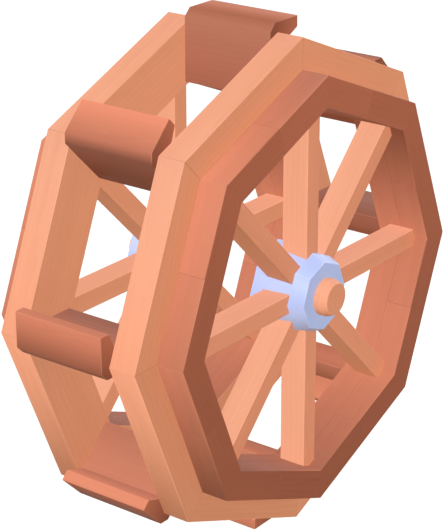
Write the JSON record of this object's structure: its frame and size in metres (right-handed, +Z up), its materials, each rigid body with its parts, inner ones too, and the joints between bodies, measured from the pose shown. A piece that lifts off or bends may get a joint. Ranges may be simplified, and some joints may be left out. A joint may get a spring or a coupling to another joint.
{
  "type": "water wheel",
  "caption": "Octagonal timber water wheel: two spoked rims with facing rings on iron hubs with axle stubs, joined by lipped paddles.",
  "frame": {"origin": "centre of the wheel, on the axle's centre line, halfway between the rims", "axes": "+Y along the axle towards the back rim, +Z up, with the wheel standing on two paddles"},
  "size_m": [2.9666, 1.463, 2.9666],
  "materials": {
    "timber": "planed, oiled, worn at the edges",
    "red_timber": "planed, red-stained, worn at the edges",
    "hub_iron": "painted pale blue-grey"
  },
  "bodies": {
    "root": {"front_felloes_odd": "timber", "front_felloes_even": "timber", "back_felloes_odd": "timber", "back_felloes_even": "timber", "front_facing_odd": "red_timber", "front_facing_even": "red_timber", "back_facing_odd": "red_timber", "back_facing_even": "red_timber", "front_spoke_1": "timber", "front_spoke_2": "timber", "front_spoke_3": "timber", "front_spoke_4": "timber", "front_spoke_5": "timber", "front_spoke_6": "timber", "front_spoke_7": "timber", "front_spoke_8": "timber", "back_spoke_1": "timber", "back_spoke_2": "timber", "back_spoke_3": "timber", "back_spoke_4": "timber", "back_spoke_5": "timber", "back_spoke_6": "timber", "back_spoke_7": "timber", "back_spoke_8": "timber", "paddle_1": "red_timber", "paddle_2": "red_timber", "paddle_3": "red_timber", "paddle_4": "red_timber", "paddle_5": "red_timber", "paddle_6": "red_timber", "paddle_7": "red_timber", "paddle_8": "red_timber", "front_hub": "hub_iron", "back_hub": "hub_iron", "front_axle_stub": "timber", "back_axle_stub": "timber"}
  },
  "joints": []
}
